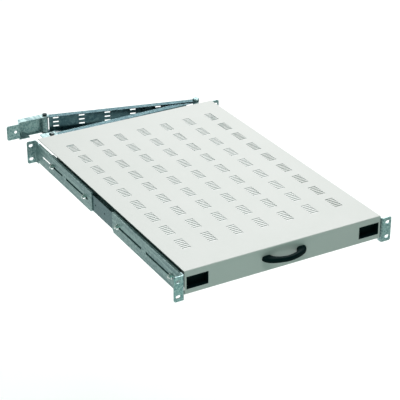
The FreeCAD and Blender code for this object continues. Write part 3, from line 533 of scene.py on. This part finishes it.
class RACKSHELF_OT_finger_cups(bpy.types.Operator):
    """Black plastic on the cups in the panel's windows; their black also stands for the shade inside the
    windows
    """
    bl_idname = "rack_shelf.finger_cups"
    bl_label = "Finger cups"

    def execute(self, context):
        # The cups' black is partly painted shade: it stands for the shade inside the windows.
        coat_nodes(pairs("window_cup"), finished("moulded_black_abs", context.scene))
        return {"FINISHED"}


class RACKSHELF_OT_pull_handle(bpy.types.Operator):
    """Moulded bow handle with its snap pegs"""
    bl_idname = "rack_shelf.pull_handle"
    bl_label = "Pull handle"

    BOW_STEPS = 65
    SECTION_POINTS = 32
    FOOT_FLARE = 4
    # Height of the grip, in shares of the feet's height.
    GRIP_HEIGHT = 0.92

    def execute(self, context):
        sizes = context.scene.shelf_handle
        low, high = (np.array(corner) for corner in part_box("pull_handle"))
        face, inner = self.panel_faces()
        middle = (low + high) / 2
        reach = (high[0] - low[0] - sizes.foot) / 2
        depth = face - low[1] - sizes.grip / 2
        grids = [self.bow(sizes, middle, face, reach, depth)]
        for side in (-1, 1):
            x = middle[0] + side * reach
            grids.append(self.snap_peg(sizes, x, middle[2], face, inner, high[1]))
        piece("pull_handle_moulding", grids, finished("moulded_black_abs", context.scene), "shelf",
              ["pull_handle"])
        return {"FINISHED"}

    @staticmethod
    def panel_faces():
        """Front and inner face of the panel."""
        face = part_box("shelf_tray")[0][1]
        return face, face + PANEL_SHEET

    @classmethod
    def bow(cls, sizes, middle, face, reach, depth):
        """The grip's axis is half a superellipse in plan, from foot to foot, and its section is a
        superellipse that widens from the grip to the feet with the fourth power of the way."""
        way = np.linspace(0.0, math.pi, cls.BOW_STEPS)
        along, out = rounded_section(way, sizes.bow)
        level = np.full_like(way, middle[2])
        path = np.stack([middle[0] - reach * along, face - depth * out, level], axis=1)
        tangent = np.gradient(path[:, :2], way, axis=0)
        tangent[0] = (0.0, -1.0)
        tangent[-1] = (0.0, 1.0)
        tangent /= np.linalg.norm(tangent, axis=1)[:, None]
        normal = np.stack([-tangent[:, 1], tangent[:, 0]], axis=1)
        spread = np.abs(np.cos(way)) ** cls.FOOT_FLARE
        half_across = (sizes.grip + (sizes.foot - sizes.grip) * spread) / 2
        half_up = sizes.height / 2 * (cls.GRIP_HEIGHT + (1 - cls.GRIP_HEIGHT) * spread)
        return swept(path, normal, half_across, half_up, turns(cls.SECTION_POINTS), sizes.edge)

    @staticmethod
    def snap_peg(sizes, x, z, face, inner, end):
        """Square bar back through the panel; its width steps out behind the sheet and tapers to the tip."""
        depths = np.array([face, inner, inner, (inner + end) / 2, end])
        half = sizes.peg / 2
        widths = np.array([half, half, half + sizes.barb, half + sizes.barb, half])
        corners_x = np.array([-1.0, 1.0, 1.0, -1.0])
        corners_z = np.array([-1.0, -1.0, 1.0, 1.0])
        grid = np.zeros((len(depths), 4, 3))
        grid[:, :, 0] = x + widths[:, None] * corners_x
        grid[:, :, 1] = depths[:, None]
        grid[:, :, 2] = z + half * corners_z
        return grid


HEX_SIDES = 6
# A chamfer's profile: shares of its height, and the cone's reach past the flats in shares of them.
CHAMFER_RISE = np.array([0.0, 0.35, 1.0])
CHAMFER_REACH = np.array([-0.02, 0.06, 0.2])
# Thread: rows of points in a turn, and depths in shares of the pitch.
THREAD_ROWS = 8
THREAD_DEPTH = 0.5
TIP_DEPTH = 0.75


def chamfered(height, flats, chamfer, angles):
    """Hex block: the radius is the smaller of the hexagon's and of a cone's that cuts the corners at both
    ends."""
    rise = chamfer * CHAMFER_RISE
    heights = np.concatenate([rise, height - rise[::-1]])
    cone = flats / 2 + np.concatenate([CHAMFER_REACH, CHAMFER_REACH[::-1]]) * flats
    return heights, np.minimum(cone[:, None], prism_radius(angles, HEX_SIDES, flats)[None, :])


def threaded(start, end, diameter, pitch, angles):
    """Threaded rod: the radius falls and rises by a triangle wave of height less angle over a turn."""
    rows = int((end - start) / pitch * THREAD_ROWS) + 2
    heights = np.linspace(start, end, rows)
    wave = np.abs(((heights[:, None] / pitch - angles[None, :] / (2 * math.pi)) % 1.0) * 2 - 1)
    radii = diameter / 2 - pitch * THREAD_DEPTH * wave
    radii[-1] = diameter / 2 - pitch * TIP_DEPTH
    return heights, radii


class RACKSHELF_OT_rail_nuts(bpy.types.Operator):
    """Flange nuts on the threaded studs that clamp the brackets"""
    bl_idname = "rack_shelf.rail_nuts"
    bl_label = "Rail nuts"

    # Millimetres from the face of the front flanges to each stud.
    STATIONS = (48.0, 267.0, 418.0, 578.0)
    NECK_SIDES = 4
    RIM_ROUND = 0.2 * MM
    RIM_SLOPE = 0.9 * MM
    # Rows of the nut's flange and the foot of its hexagon, in shares of the flange's height.
    RIM_SHARES = np.array([0.0, 0.2, 0.6, 1.0])
    HEX_FOOT = 0.8
    TIP_OVERLAP = 0.5 * MM

    def execute(self, context):
        sizes = context.scene.shelf_fasteners
        angles = turns(ROUND_POINTS)
        for side, way in zip(SIDES, (-1.0, 1.0)):
            name = side + "_rail_studs"
            low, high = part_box(name)
            ends = sorted((low[0], high[0]), key=abs)
            seat = self.bracket_face(side, way)
            grids = []
            for station in self.STATIONS:
                foot = np.array([seat, station * MM, 0.0])
                axis = np.array([way, 0.0, 0.0])
                grids += self.stud(sizes, foot, axis, abs(ends[0] - seat), abs(ends[1] - seat), angles)
            piece(side + "_rail_nuts", grids, finished("bright_zinc_fastener", context.scene), "rack_rails",
                  [name])
        return {"FINISHED"}

    @staticmethod
    def bracket_face(side, way):
        """Outer face of the bracket's web: the slide's back face plus the bracket's sheet."""
        low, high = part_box(side + "_outer_slide")
        return (low[0] if way < 0 else high[0]) + way * BRACKET_SHEET

    @classmethod
    def stud(cls, sizes, foot, axis, back, end, angles):
        """Square neck in the slot, flange, chamfered hexagon and the stud's threaded end."""
        neck = (np.array([-back, 0.0]), prism_radius(angles, cls.NECK_SIDES, sizes.stud)[None, :])
        edge = sizes.nut_flange / 2
        rim = np.array([edge - cls.RIM_ROUND, edge, edge, edge - cls.RIM_SLOPE])[:, None]
        flange = (sizes.flange_height * cls.RIM_SHARES, rim)
        start = sizes.flange_height * cls.HEX_FOOT
        heights, radii = chamfered(sizes.nut_height - start, sizes.nut_flats, sizes.chamfer, angles)
        tip = threaded(sizes.nut_height - cls.TIP_OVERLAP, end, sizes.stud, sizes.thread, angles)
        parts = (neck, flange, (heights + start, radii), tip)
        return [turned(foot, axis, *part, angles) for part in parts]


class RACKSHELF_OT_pivots(bpy.types.Operator):
    """Bolts of the cable arm's pivots and the pin that runs in the lug"""
    bl_idname = "rack_shelf.pivots"
    bl_label = "Pivots"

    UP = (0.0, 0.0, 1.0)
    HEAD = 5.0 * MM
    PIN_RADIUS = 2.5 * MM
    PIN_HEAD = 3.0 * MM
    PIN_NUT = 2.5 * MM
    # How far the pin's shank reaches into its head, and where it starts inside the nut.
    HEAD_OVERLAP = 0.5 * MM
    NUT_OVERLAP = 1.0 * MM
    # The pin's head is straight for this share of its height, and domed above in these steps.
    STRAIGHT = 0.25
    DOME = np.linspace(0.0, 0.97, 9)

    def execute(self, context):
        sizes = context.scene.shelf_fasteners
        angles = turns(ROUND_POINTS)
        zinc = finished("zinc_plated_steel", context.scene)
        dark = finished("black_oxide_steel", context.scene)
        piece("rack_pivot_hex_bolt", self.bolt(sizes, "rack_pivot_bolt", sizes.rack_bolt, angles), dark,
              "rack_rails", ["rack_pivot_bolt"])
        piece("elbow_hex_bolt", self.bolt(sizes, "elbow_bolt", sizes.elbow_bolt, angles), zinc,
              "rear_cable_arm", ["elbow_bolt"])
        piece("shelf_pin_rivet", self.pin(sizes, angles), dark,
              "front_cable_arm", ["shelf_pin"])
        return {"FINISHED"}

    @staticmethod
    def upright(node):
        """Lowest and highest corner of a node's box, and the foot of its upright axis."""
        low, high = (np.array(corner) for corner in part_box(node))
        return low, high, np.array([(low[0] + high[0]) / 2, (low[1] + high[1]) / 2, 0.0])

    @classmethod
    def bolt(cls, sizes, node, flats, angles):
        """Plain shank between a chamfered head above and a chamfered nut below."""
        low, high, foot = cls.upright(node)
        heights, radii = chamfered(cls.HEAD, flats, sizes.chamfer, angles)
        shank = np.array([low[2] + cls.HEAD / 2, high[2] - cls.HEAD / 2])
        return [turned(foot, cls.UP, shank, sizes.bolt / 2, angles),
                turned(foot, cls.UP, high[2] - cls.HEAD + heights, radii, angles),
                turned(foot, cls.UP, low[2] + heights, radii, angles)]

    @classmethod
    def pin(cls, sizes, angles):
        """Domed head over a shank, with a hex nut under the arm's flange; the dome's radius is a quarter
        ellipse."""
        low, high, foot = cls.upright("shelf_pin")
        edge = (high[0] - low[0]) / 2
        head = high[2] - cls.PIN_HEAD
        rise = cls.PIN_HEAD * (cls.STRAIGHT + (1 - cls.STRAIGHT) * cls.DOME)
        levels = np.concatenate([[head], head + rise])
        widths = edge * np.concatenate([[1.0], np.sqrt(1 - cls.DOME ** 2)])
        shank = np.array([low[2] + cls.NUT_OVERLAP, head + cls.HEAD_OVERLAP])
        heights, radii = chamfered(cls.PIN_NUT, sizes.nut_flats, sizes.chamfer, angles)
        return [turned(foot, cls.UP, shank, cls.PIN_RADIUS, angles),
                turned(foot, cls.UP, levels, widths[:, None], angles),
                turned(foot, cls.UP, low[2] + heights, radii, angles)]


class RACKSHELF_OT_studio(bpy.types.Operator):
    """Pale floor, soft lights and the camera at the photograph's angle"""
    bl_idname = "rack_shelf.studio"
    bl_label = "Studio"

    # Each light, in metres: where it stands, what it looks at, and the width of its square.
    KEY = ((-0.26, -0.8, 3.13), (0.0, 0.35, 0.0), 1.8)
    FAR_FLOOR = ((2.6, 4.2, 4.3), (1.2, 1.8, -1.0), 3.4)
    FILL = ((-1.9, -2.1, 0.7), (-0.25, 0.0, 0.0), 0.5)
    FRONT = ((0.7, -1.6, -0.9), (-0.25, 0.0, 0.0), 0.8)
    UNDER = ((-0.1, 0.35, -0.9), (0.2, 0.35, 0.0), 0.4)
    FLOOR_CELLS = 8
    SENSOR_WIDTH = 36.0
    VIEW_END = 100.0

    def execute(self, context):
        scene = context.scene
        settings = scene.shelf_studio
        self.floor(scene, settings)
        self.room(scene, settings)
        white, fill = settings.key_colour, settings.fill_colour
        self.light(scene, "key_light", self.KEY, settings.key_power, white)
        self.light(scene, "floor_light", self.FAR_FLOOR, settings.back_power, white, settings.back_spread)
        self.light(scene, "fill_light", self.FILL, settings.fill_power, fill, settings.fill_spread)
        self.light(scene, "front_light", self.FRONT, settings.front_power, fill, settings.fill_spread)
        self.light(scene, "under_light", self.UNDER, settings.under_power, white, settings.under_spread)
        self.camera(scene, settings)
        scene.view_settings.view_transform = "Standard"
        return {"FINISHED"}

    @classmethod
    def floor(cls, scene, settings):
        """Flat square grid under the shelf: each point is a pair of even steps across and along."""
        cells = cls.FLOOR_CELLS
        row = cells + 1
        steps = np.linspace(-settings.floor_size, settings.floor_size, row)
        across, along = np.meshgrid(steps, steps, indexing="ij")
        level = np.full_like(across, CAD_BOX[0][2] - settings.floor_drop)
        points = np.stack([across, along, level], axis=-1).reshape(-1, 3)
        corner = (np.arange(cells)[:, None] * row + np.arange(cells)).reshape(-1, 1)
        faces = corner + np.array([0, row, row + 1, 1])
        mesh = bpy.data.meshes.new("floor")
        mesh.from_pydata(points.tolist(), [], faces.tolist())
        mesh.materials.append(finished("matt_studio_board", scene))
        board = bpy.data.objects.new("floor", mesh)
        scene.collection.objects.link(board)

    @staticmethod
    def room(scene, settings):
        """Even light of the room."""
        world = bpy.data.worlds.new("studio_room")
        world.use_nodes = True
        tree = world.node_tree
        tree.nodes.clear()
        glow = add(tree, "ShaderNodeBackground", {"Color": settings.sky, "Strength": settings.sky_strength})
        add(tree, "ShaderNodeOutputWorld", {"Surface": glow.outputs["Background"]})
        scene.world = world

    @staticmethod
    def light(scene, name, stand, power, tint, spread=math.pi):
        """Square soft light that looks at a point."""
        place, target, size = stand
        lamp = bpy.data.lights.new(name, "AREA")
        lamp.spread = spread
        lamp.energy = power
        lamp.color = tint[:3]
        lamp.size = size
        made = bpy.data.objects.new(name, lamp)
        made.location = place
        way = np.array(target) - np.array(place)
        flat = math.hypot(way[0], way[1])
        made.rotation_euler = (math.atan2(flat, -way[2]), 0.0, math.atan2(-way[0], way[1]))
        scene.collection.objects.link(made)

    @classmethod
    def camera(cls, scene, settings):
        """Camera of the photograph's lens, place and tilt."""
        lens = bpy.data.cameras.new("photo_camera")
        lens.lens = settings.lens
        lens.sensor_width = cls.SENSOR_WIDTH
        lens.clip_end = cls.VIEW_END
        made = bpy.data.objects.new("photo_camera", lens)
        made.location = settings.camera_place
        made.rotation_euler = (math.pi / 2 - settings.pitch, 0.0, -settings.yaw)
        scene.collection.objects.link(made)
        scene.camera = made


OPERATORS = (
    RACKSHELF_OT_coated_sheet,
    RACKSHELF_OT_rail_brackets,
    RACKSHELF_OT_cable_arm,
    RACKSHELF_OT_slides,
    RACKSHELF_OT_finger_cups,
    RACKSHELF_OT_pull_handle,
    RACKSHELF_OT_rail_nuts,
    RACKSHELF_OT_pivots,
    RACKSHELF_OT_studio,
)
GROUPS = {
    "shelf_colours": FinishColours,
    "shelf_handle": HandleSizes,
    "shelf_fasteners": FastenerSizes,
    "shelf_studio": StudioSettings,
}


class RACKSHELF_PT_sidebar(bpy.types.Panel):
    """Pieces, sizes and colours of the sliding rack shelf"""
    bl_idname = "RACKSHELF_PT_sidebar"
    bl_label = "Sliding Rack Shelf"
    bl_space_type = "VIEW_3D"
    bl_region_type = "UI"
    bl_category = "Rack Shelf"

    def draw(self, context):
        for operator in OPERATORS:
            self.layout.operator(operator.bl_idname)
        for name, group in GROUPS.items():
            box = self.layout.box()
            for setting in group.__annotations__:
                box.prop(getattr(context.scene, name), setting)


def register():
    """Add the classes to Blender and the settings to the scene."""
    for group in GROUPS.values():
        bpy.utils.register_class(group)
    for name, group in GROUPS.items():
        setattr(bpy.types.Scene, name, bpy.props.PointerProperty(type=group))
    for made in OPERATORS + (RACKSHELF_PT_sidebar,):
        bpy.utils.register_class(made)


def unregister():
    """Take the classes and settings out again."""
    for made in (RACKSHELF_PT_sidebar,) + OPERATORS[::-1]:
        bpy.utils.unregister_class(made)
    for name, group in GROUPS.items():
        delattr(bpy.types.Scene, name)
        bpy.utils.unregister_class(group)


def main():
    """Dress the shelf and set the stage."""
    register()
    for operator in OPERATORS:
        family, step = operator.bl_idname.split(".")
        getattr(getattr(bpy.ops, family), step)()


if __name__ == "__main__":
    main()
